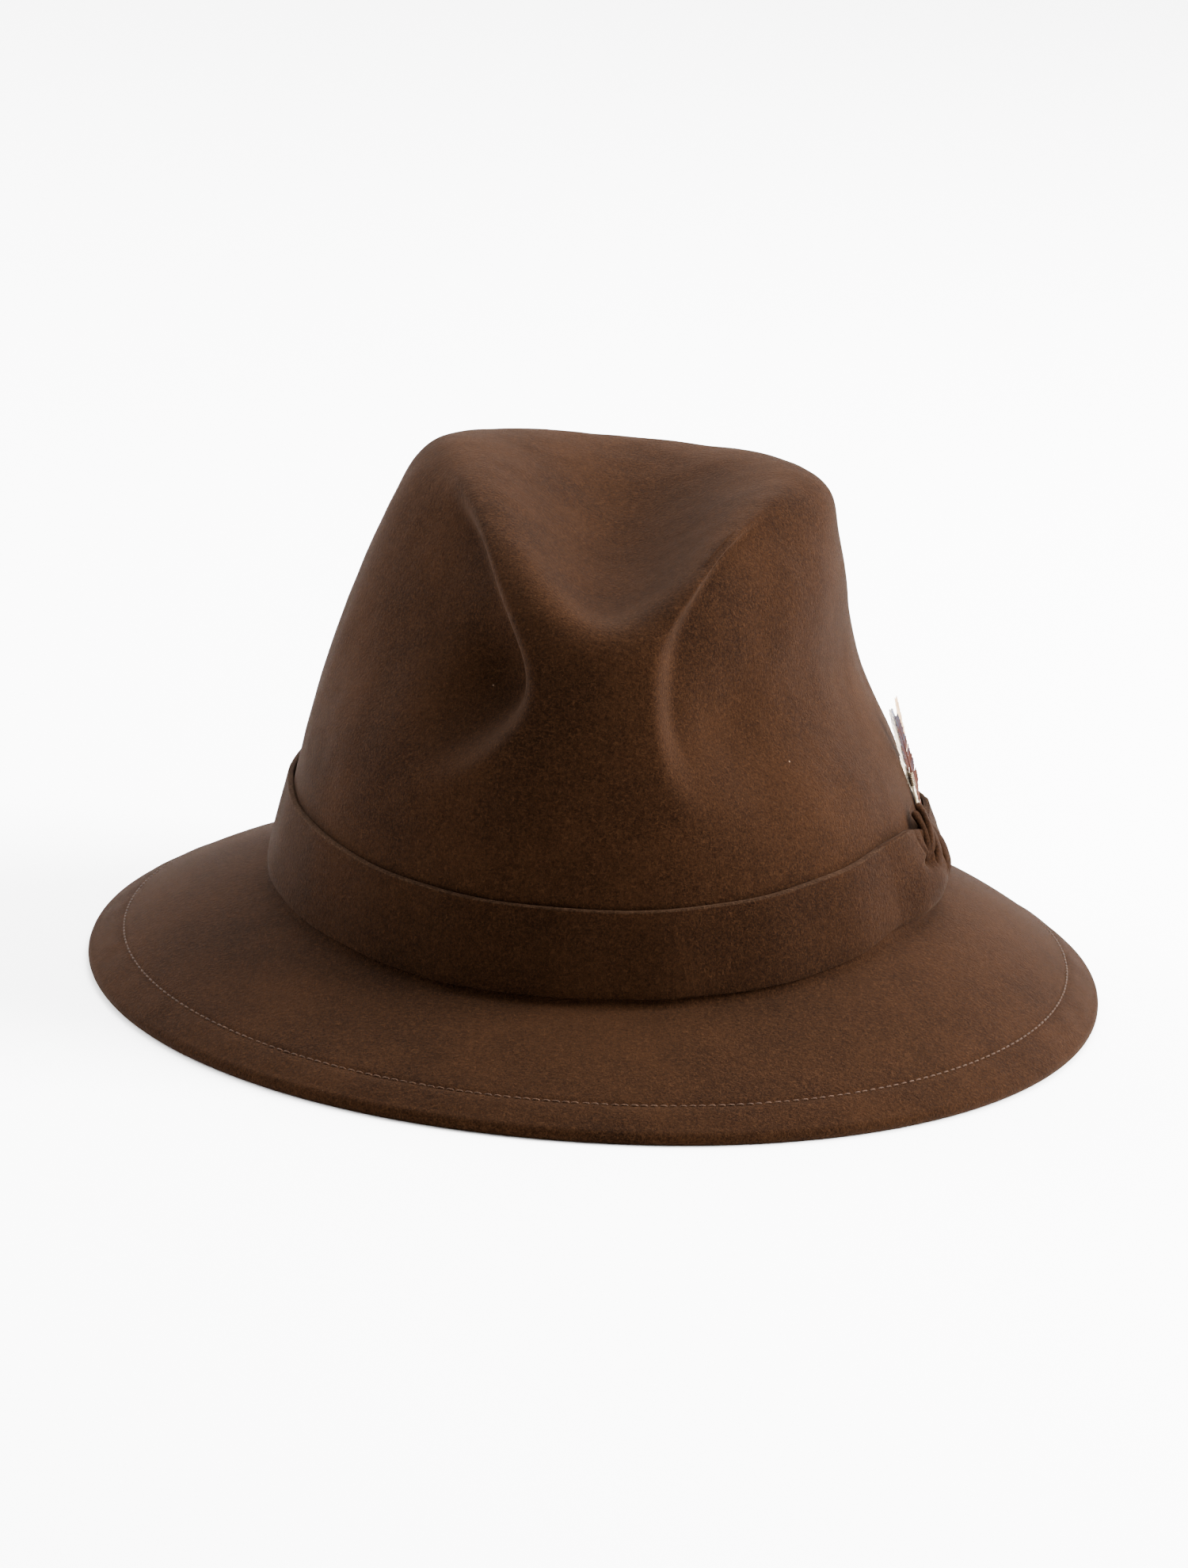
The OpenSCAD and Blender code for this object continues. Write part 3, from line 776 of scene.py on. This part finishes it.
# Each pleat: five places of its middle line (degrees from the bow's side, up, off the felt), then its width.
PLEATS = [
    ((-4.6, 22.4, 2.9), (-5.0, 20.2, 3.9), (-6.4, 17.6, 4.8), (-8.6, 14, 5.3), (-11.4, 11.0, 3.4), 3.3),
    ((-6.6, 21.2, 2.0), (-7.0, 19.0, 3.0), (-8.0, 16.4, 4.0), (-9.6, 13.4, 4.5), (-11.8, 10.6, 3.2), 3.6),
    ((-4.8, 19.8, 2.6), (-5.2, 17.8, 4.0), (-6.4, 14.8, 5.4), (-7.8, 11.3, 6.1), (-9.8, 7.6, 5.0), 4.2),
    ((-2.8, 17.8, 1.6), (-3.0, 15.6, 3.7), (-3.5, 12.0, 6.0), (-4.3, 7.5, 6.8), (-5.6, 2.6, 5.0), 4.8),
    ((0.2, 17.0, 1.0), (0.2, 14.8, 2.8), (0.0, 11.2, 4.9), (0.0, 6.5, 5.8), (0.2, 0.6, 4.4), 5.4),
    ((3.7, 16.6, 0.8), (3.7, 14.8, 1.8), (3.9, 11.6, 3.0), (4.4, 7.0, 3.7), (5.4, 2.6, 3.2), 5.0),
    ((6.8, 16.8, 0.6), (6.8, 15.2, 1.2), (7.2, 12.8, 1.9), (8.0, 10.0, 2.3), (9.8, 6.6, 2.0), 4.4),
]


def pleat(keys, width, steps=26, sides=20):
    """Rings of a thick strip of felt through its keys, rounded at its ends and tipped over the next pleat."""
    keys = np.array(keys, float)
    t = np.linspace(0, len(keys) - 1, steps)
    deg, z, off = (np.interp(t, np.arange(len(keys)), keys[:, c]) for c in range(3))
    for _ in range(3):
        for v in (deg, z, off):
            v[1:-1] = (v[:-2] + 2 * v[1:-1] + v[2:]) / 4
    th = np.radians(deg)
    line = wall(th, z, off)
    run = unit(np.gradient(line, axis=0))
    side = unit(np.cross(run, outwards(th)))
    out = np.cross(side, run)
    lean = 0.32 if deg.mean() < -1 else -0.32 if deg.mean() > 2 else 0.0
    end = np.maximum(0.12, (1 - np.abs(2 * t / t[-1] - 1) ** 9) ** 0.5)
    half = width / 2 * (1 - 0.22 * ease(0.6, 1, t / t[-1])) * end
    turn = full_turn(sides)
    a = np.sign(np.cos(turn)) * np.abs(np.cos(turn)) ** 0.55
    b = np.sign(np.sin(turn)) * np.abs(np.sin(turn)) ** 0.8
    across = half[:, None] * a
    rise = 0.85 * end[:, None] * b - lean * a * half.mean()
    return line[:, None, :] + across[:, :, None] * side[:, None, :] + rise[:, :, None] * out[:, None, :]


def bow_knot():
    """The pleats that the wrap gathers, each lying over the next."""
    points, faces, total = [], [], 0
    for *keys, width in PLEATS:
        rings = pleat(keys, width)
        points.append(rings.reshape(-1, 3))
        faces += loft_faces(*rings.shape[:2], first=total)
        total += len(points[-1])
    obj = make_object("bow_knot", np.concatenate(points), faces, "hat", BAND_FELT)
    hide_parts("bow_wrap")


bow_knot()

# ---------------------------------------------------------------- feathers
PULL_AT = math.radians(4.5)
PULL_LEAN = math.radians(10)
FEATHER_FOOT = 9.0
SHAFT_R = 0.34
BARB_ANGLE = 32
BARB_STEPS = 7
BARB_HALF = 0.27
FREE_FROM = (20, 27)


def pull_frame():
    """The pocket's place and its directions: up along the pull, across, and off the crown."""
    th = np.array(PULL_AT)
    foot = wall(th, 0.0, 0.0)
    up = unit(wall(th, BAND_H, 0.0) - foot)
    n = outwards(th)
    side = np.array([-n[1], n[0], 0])
    ax = math.cos(PULL_LEAN) * up + math.sin(PULL_LEAN) * side
    ac = math.cos(PULL_LEAN) * side - math.sin(PULL_LEAN) * up
    return foot - 1.7 * ac, ax, ac, np.cross(side, up)


PULL = pull_frame()


def pull_point(up, across, out):
    place, *axes = PULL
    for distance, axis in zip((up, across, out), axes):
        place = place + np.asarray(distance)[..., None] * axis
    return place


def feather(name, node, material, tip, half, lean, bow, cup, seed, twist, gap=0.3, fluff=0.0):
    """A feather with its shaft and separate barbs.

    tip is its height, half its half width and lean its drift sideways. bow lists how far it stands off from
    foot to tip. cup curls the barbs outwards, twist turns the vane above the band, in degrees, gap is the
    space between barbs and fluff makes them stray.
    """
    rng = np.random.default_rng(seed)
    long = tip - FEATHER_FOOT
    f = np.linspace(0, 1, 40)
    off = np.interp(f, (0, 0.35, 0.7, 1), bow)
    for _ in range(8):
        off[1:-1] = (off[:-2] + 2 * off[1:-1] + off[2:]) / 4
    shaft = pull_point(FEATHER_FOOT + long * f, lean * f**1.5, off)
    shaft_points, faces = tubes(shaft[None], SHAFT_R * (1 - 0.85 * f), PULL[3], 6)
    points = [shaft_points]
    tone = [np.repeat(0.15 + 0.2 * f, 6)]
    total = len(shaft_points)
    turn = math.radians(twist)
    face = PULL[3] * math.cos(turn) - PULL[2] * math.sin(turn)
    t = np.linspace(0, 1, BARB_STEPS)
    wide = BARB_HALF * (1 - 0.6 * t**2) + 0.03
    for side in (-1, 1):
        for g in np.sort(rng.uniform(0.0, 0.985, int(long / gap))):
            vane = 0.25 + 0.75 * np.sin(np.pi * min(1, 0.12 + 0.86 * g) ** 0.85)
            reach = half * vane * rng.uniform(0.86, 1.08)
            angle = math.radians(BARB_ANGLE * (1 - 0.45 * g) * rng.uniform(0.8, 1.2))
            stray = fluff * rng.normal(0, 1, 3)
            u = FEATHER_FOOT + long * g + reach / math.tan(angle) * t * (0.75 + 0.25 * t)
            u = np.minimum(u, tip + 0.6 * (1 - half / 6))
            wing = side * reach * t**0.9 + stray[0] * t * t
            rise = cup * t * t * reach / half + stray[1] * t * t + rng.uniform(-0.05, 0.05)
            free = turn * ease(*FREE_FROM, u)
            across = lean * g**1.5 + wing * np.cos(free) - rise * np.sin(free)
            out = np.interp(np.clip((u - FEATHER_FOOT) / long, 0, 1), f, off)
            line = pull_point(u, across, out + wing * np.sin(free) + rise * np.cos(free))
            run = unit(np.gradient(line, axis=0))
            width = unit(np.cross(run, face)) * wide[:, None]
            points.append(np.stack([line - width, line + width], 1).reshape(-1, 3))
            tone.append(np.full(2 * BARB_STEPS, np.clip(g + 0.12 * rng.normal(), 0, 1)))
            faces += [[k, k + 1, k + 3, k + 2] for k in range(total, total + 2 * BARB_STEPS - 2, 2)]
            total += 2 * BARB_STEPS
    points, tone = np.concatenate(points), np.concatenate(tone)
    obj = make_object(name, points, faces, "feather_bunch", material, tone=tone)
    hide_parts(node)


CREAM = feather_material(
    "feather_cream", (0.0, (0.5, 0.4, 0.28)), (0.55, (0.4, 0.26, 0.15)), (1.0, (0.34, 0.21, 0.11))
)
CHESTNUT = feather_material(
    "feather_chestnut",
    (0.0, (0.06, 0.02, 0.011)), (0.6, (0.032, 0.0085, 0.005)), (1.0, (0.026, 0.024, 0.033))
)
WHITE = feather_material(
    "feather_white", (0.0, (0.52, 0.44, 0.34)), (0.7, (0.38, 0.31, 0.23)), (1.0, (0.06, 0.06, 0.085))
)
GREY = feather_material(
    "feather_guinea", (0.0, (0.3, 0.25, 0.19)), (0.5, (0.1, 0.082, 0.066)), (1.0, (0.16, 0.13, 0.1)),
    spots=(0.6, 0.54, 0.45)
)
feather("white_feather", "feather_white", WHITE, 43.5, 1.8, -1.6, (0.9, 0.6, 0.1, -0.5), 0.2, 1, 42)
feather("chestnut_feather", "feather_chestnut", CHESTNUT, 42, 1.3, -1.2, (1.7, 1.5, 1.1, 0.6), 0.2, 2, 60)
feather("cream_feather", "feather_cream", CREAM, 46.5, 1.3, 0.8, (1.2, 0.6, 0.9, 1.4), 0.2, 3, 38)
feather(
    "grey_feather", "feather_guinea", GREY, 35.5, 2.0, 1.2, (1.2, 0.7, 0.8, 0.9), 0.3, 4, 25,
    gap=0.22, fluff=0.35,
)


def quills():
    """Four bare quills side by side, tapering down into the pocket, and the thread that binds them."""
    up = np.linspace(3.2, 26, 24)
    paths = []
    for k in range(4):
        x = (k - 1.5) * 1.15 * ease(2.0, 9.0, up) + 0.12 * np.sin(up * 0.9 + k)
        paths.append(pull_point(up, x, 0.9 + 0 * up))
    radii = 0.34 * ease(2.0, 7.0, up) + 0.06
    points, faces = tubes(np.array(paths), radii, PULL[3], 8)
    obj = make_object("quills", points, faces, "feather_bunch", HORN)
    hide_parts("feather_quills")
    turns, fine = 8, 240
    a = np.linspace(0, turns * 2 * np.pi, fine)
    up = np.linspace(23.2, 26.8, fine)
    path = pull_point(up, 2.3 * np.sign(np.cos(a)) * np.abs(np.cos(a)) ** 0.6, 0.9 + 0.55 * np.sin(a))
    points, faces = tubes(path[None], 0.2, PULL[1], 6)
    obj = make_object("quill_binding", points, faces, "feather_bunch", BINDING)
    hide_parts("feather_binding")


quills()

# ---------------------------------------------------------------- sweatband
SWEAT_H = 40.0
SWEAT_T = 1.2
SWEAT_FOOT = -2.4
SWEAT_STITCH_Z = 2.4
LEATHER_OFF = -FELT_T - 1.4 - SWEAT_T


def leather_off(z):
    """The sweatband's place off the crown: it leans inwards towards its top."""
    return LEATHER_OFF - 0.8 * (z - SWEAT_FOOT) / SWEAT_H


def strip_on_wall(th, lo, hi, off, t, rows=10, corner=0.3):
    """Points of a closed strip on the inside of the wall, through the turns th."""
    ys = np.linspace(0, 1, rows)
    outline = [(v, t) for v in ys] + [(1 - v, 0.0) for v in ys]
    points = []
    for v, q in outline:
        z = lo + (hi - lo) * v
        at_edge = v in (0, 1)
        rounded = q * (1 - corner) + corner * t / 2 if at_edge else q
        points.append(wall(th, z, off(z) + rounded))
    return np.stack(points, 1)


def sweatband():
    """The leather, open at the seam at the back."""
    count = 500
    th = np.radians(90.6 + np.linspace(0, 358.8, count))
    hi = SWEAT_FOOT + SWEAT_H + 0.25 * wave(th, 21, 5, 3, 12)
    sway = 0.12 * wave(th, 22, 6, 3, 14)
    points = strip_on_wall(th, SWEAT_FOOT, hi, lambda z: leather_off(z) + sway * ease(5, 30, z), SWEAT_T, 14)
    faces = loft_faces(count, points.shape[1])
    obj = make_object("sweatband_roan", points, faces, "hat", LEATHER)
    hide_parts("sweatband")


def reed():
    th = full_turn(360)
    path = wall(th, SWEAT_FOOT - 1.25, -FELT_T - 2.4)
    points, faces = tubes(path[None], 1.15, np.array([0, 0, 1.0]), 12, closed=True)
    obj = make_object("reed", points, faces, "hat", REED)
    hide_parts("sweatband_reed")


def reed_tape():
    th = full_turn(400)
    points = strip_on_wall(th, -4.6, 7, lambda z: -FELT_T - 0.75, 0.3, 6)
    faces = loft_faces(400, points.shape[1], closed=True)
    obj = make_object("reed_ribbon", points, faces, "hat", TAPE)
    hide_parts("reed_tape")


def seam_tape():
    th = np.radians(np.linspace(87, 93, 24))
    points = strip_on_wall(th, -2.0, 9.6, lambda z: -FELT_T - 1.32, 0.34, 8)
    obj = make_object("seam_ribbon", points, loft_faces(24, points.shape[1]), "hat", TAPE)
    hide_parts("sweatband_seam_tape")


INNER_BOW_Z = 7


def inner_loop(side):
    """Rings of one flat loop of the ribbon bow."""
    f = np.linspace(0.08, 1, 30)
    th = np.radians(90 + side * 7.4 * f)
    half = 1.3 + 3.0 * f**0.6 * (1 - 0.25 * ease(0.8, 1, f))
    ruck = 0.3 * np.sin(f * 9) * (1 - f)
    rows = []
    for v, q in [(v, 0.0) for v in np.linspace(0, 1, 8)] + [(1 - v, 0.9) for v in np.linspace(0, 1, 8)]:
        z = INNER_BOW_Z + half * (2 * v - 1)
        fat = 1.0 - 0.4 * f + 0.25 * np.cos(6 * (v - 0.5)) * (1 - f)
        rows.append(wall(th, z, leather_off(z) - 0.75 - q * fat + ruck * 0.4))
    return np.stack(rows, 1)


def inner_knot():
    """Rings of the ribbon bow's knot."""
    t = np.linspace(-1, 1, 12)
    th = np.radians(90 + 1.0 * t)
    rows = []
    for a in full_turn(16):
        z = INNER_BOW_Z + 2.2 * np.sin(a) * (1 - 0.15 * t * t)
        rows.append(wall(th, z, leather_off(INNER_BOW_Z) - 1.3 - 0.85 * np.cos(a) * (1 - 0.3 * t * t)))
    return np.stack(rows, 1)


def inner_bow():
    """The small ribbon bow over the sweatband's back seam: two flat loops and a knot."""
    points, faces, total = [], [], 0
    for rings in (inner_loop(-1), inner_loop(1), inner_knot()):
        points.append(rings.reshape(-1, 3))
        faces += loft_faces(*rings.shape[:2], first=total)
        total += len(points[-1])
    obj = make_object("sweatband_ribbon_bow", np.concatenate(points), faces, "hat", TAPE)
    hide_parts("sweatband_bow")


def size_tab():
    th = np.radians(np.linspace(103, 109, 24))
    points = strip_on_wall(th, 12, 28, lambda z: leather_off(z) - 0.55, 0.3, 10)
    obj = make_object("blank_tab", points, loft_faces(24, points.shape[1]), "hat", TAB)
    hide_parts("size_tab")


sweatband()
reed()
reed_tape()
seam_tape()
inner_bow()
size_tab()
stitch_row(
    "sweatband_stitches", "sweatband_thread", SWEAT_STITCHES,
    lambda th, off: wall(th, SWEAT_STITCH_Z, LEATHER_OFF - off - 0.12),
    lambda th: -outwards(th), reach=0.36, radius=0.22, high=0.2, low=-0.25, seed=3,
)


# ---------------------------------------------------------------- lining
LINING_FOOT = 10.5
LINING_TOP = 72.0


def lining(th, z, off):
    """A point on the lining: against the felt low down, and hanging free of the crown's dents above."""
    hang = 3.2 + 23.5 * ((z - LINING_FOOT) / (LINING_TOP - LINING_FOOT)) ** 1.35
    f = np.broadcast_to(ease(36, 60, z), th.shape)[..., None]
    a = wall_at(th, z, -FELT_T - 1 + off)
    b = wall_at(th, z, -hang + off, dented=False)
    return a + (b - a) * f


def lining_rings(th, heights, off, pleats):
    """Rings of the lining's side, gathered into pleats towards its top."""
    rings = []
    for z in heights:
        full = ease(34, 50, z) * (0.35 + 0.65 * ease(50, 70, z))
        rings.append(lining(th, np.array(z), off - 0.45 * full * (1 + pleats)))
    return rings


def lining_side(th):
    rng = np.random.default_rng(31)
    pleats = np.zeros(len(th))
    for _ in range(5):
        n = rng.integers(14, 46)
        pleats += rng.uniform(0.2, 0.5) * np.sin(n * th + rng.uniform(0, 6.28))
    heights = np.linspace(LINING_FOOT, LINING_TOP, 48)
    rings = lining_rings(th, heights, -0.2, pleats) + lining_rings(th, heights[::-1], -0.02, pleats)
    faces = grid_faces(len(rings), len(th), wrap_rows=True, wrap_cols=True)
    side = make_object("lining_wall", np.stack(rings), faces, "hat", SATIN)
    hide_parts("lining_side")
    return side


def lining_tip(th):
    """The flat top of the lining, which sags a little."""
    rim = lining(th, np.array(LINING_TOP), -1.8)
    centre = rim.mean(0)
    rings = []
    for r in np.linspace(1, 0.02, 40):
        p = centre + (rim - centre) * r
        sag = 0.9 * (1 - r * r) + 0.12 * np.sin(9 * th + 6 * r) * r * (1 - r)
        p[:, 2] = rim[:, 2] + 1.1 - sag
        rings.append(p)
    rings += [p + np.array([0, 0, 0.25]) for p in rings[::-1]]
    faces = grid_faces(len(rings), len(th), wrap_rows=True, wrap_cols=True)
    tip = make_object("lining_crown", np.stack(rings), faces, "hat", SATIN)
    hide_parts("lining_tip")


def lining_cord(th, sides=10):
    """The twisted cord between the lining's side and its tip."""
    path = lining(th, np.array(LINING_TOP), -0.6) + np.array([0, 0, 1.1])
    turn = full_turn(sides)
    run = unit(np.roll(path, -1, 0) - np.roll(path, 1, 0))
    out = unit(np.cross(run, np.array([0, 0, 1.0])))
    twist = 95 * th
    radius = 0.72 + 0.12 * np.cos(2 * (turn[None, :] - twist[:, None]))
    ring = np.cos(turn)[None, :, None] * out[:, None, :] + np.sin(turn)[None, :, None] * np.array([0, 0, 1.0])
    points = path[:, None, :] + radius[..., None] * ring
    faces = loft_faces(len(th), sides, closed=True)
    cord = make_object("lining_cord", points, faces, "hat", SATIN)
    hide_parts("lining_piping")


def lining_pieces():
    th = full_turn(540)
    side = lining_side(th)
    lining_tip(th)
    lining_cord(th)


lining_pieces()


# ---------------------------------------------------------------- floor and light
FLOOR_REACH = 30
LIGHT_AIM = (0, 0, 0.06)
# Name, place, size and power of each soft light.
LIGHTS = (
    ("left_box", (-1.7, 0.5, 0.8), (1.0, 1.2), 52),
    ("right_box", (1.6, 0.1, 1.0), (1.0, 1.0), 310),
    ("top_box", (0.3, 0.7, 1.9), (1.2, 1.2), 160),
)
SKY_STRENGTH = 7.0
FRONT_SHADE = (0.16, 0.16, 0.16, 1)


def floor():
    mesh = bpy.data.meshes.new("floor")
    r = FLOOR_REACH
    mesh.from_pydata([(-r, -r, 0), (r, -r, 0), (r, r, 0), (-r, r, 0)], [], [(0, 1, 2, 3)])
    obj = bpy.data.objects.new("floor", mesh)
    m = bpy.data.materials.new("floor_white")
    m.use_nodes = True
    m.node_tree.nodes["Principled BSDF"].inputs["Base Color"].default_value = (0.95, 0.95, 0.95, 1)
    m.node_tree.nodes["Principled BSDF"].inputs["Roughness"].default_value = 0.95
    mesh.materials.append(m)
    bpy.context.collection.objects.link(obj)


def area_light(name, place, size, power):
    light = bpy.data.lights.new(name, "AREA")
    light.shape = "RECTANGLE"
    light.size, light.size_y = size
    light.energy = power
    obj = bpy.data.objects.new(name, light)
    direction = Vector(LIGHT_AIM) - Vector(place)
    obj.rotation_euler = direction.to_track_quat("-Z", "Y").to_euler()
    obj.location = place
    bpy.context.collection.objects.link(obj)


def studio_world():
    """Even white surroundings that are dimmer on the front side, where a studio's room is dark."""
    world = bpy.data.worlds.new("studio")
    world.use_nodes = True
    t = world.node_tree
    background = t.nodes["Background"]
    split = t.nodes.new("ShaderNodeSeparateXYZ")
    ramp = t.nodes.new("ShaderNodeValToRGB")
    shift = t.nodes.new("ShaderNodeMath")
    shift.operation = "MULTIPLY_ADD"
    shift.inputs[1].default_value = 0.5
    shift.inputs[2].default_value = 0.5
    t.links.new(t.nodes.new("ShaderNodeTexCoord").outputs["Generated"], split.inputs["Vector"])
    t.links.new(split.outputs["Y"], shift.inputs[0])
    t.links.new(shift.outputs["Value"], ramp.inputs["Fac"])
    ramp.color_ramp.elements[0].position = 0.15
    ramp.color_ramp.elements[0].color = FRONT_SHADE
    ramp.color_ramp.elements[1].position = 0.75
    ramp.color_ramp.elements[1].color = (1, 1, 1, 1)
    t.links.new(ramp.outputs["Color"], background.inputs["Color"])
    background.inputs["Strength"].default_value = SKY_STRENGTH
    bpy.context.scene.world = world


floor()
studio_world()
for light in LIGHTS:
    area_light(*light)
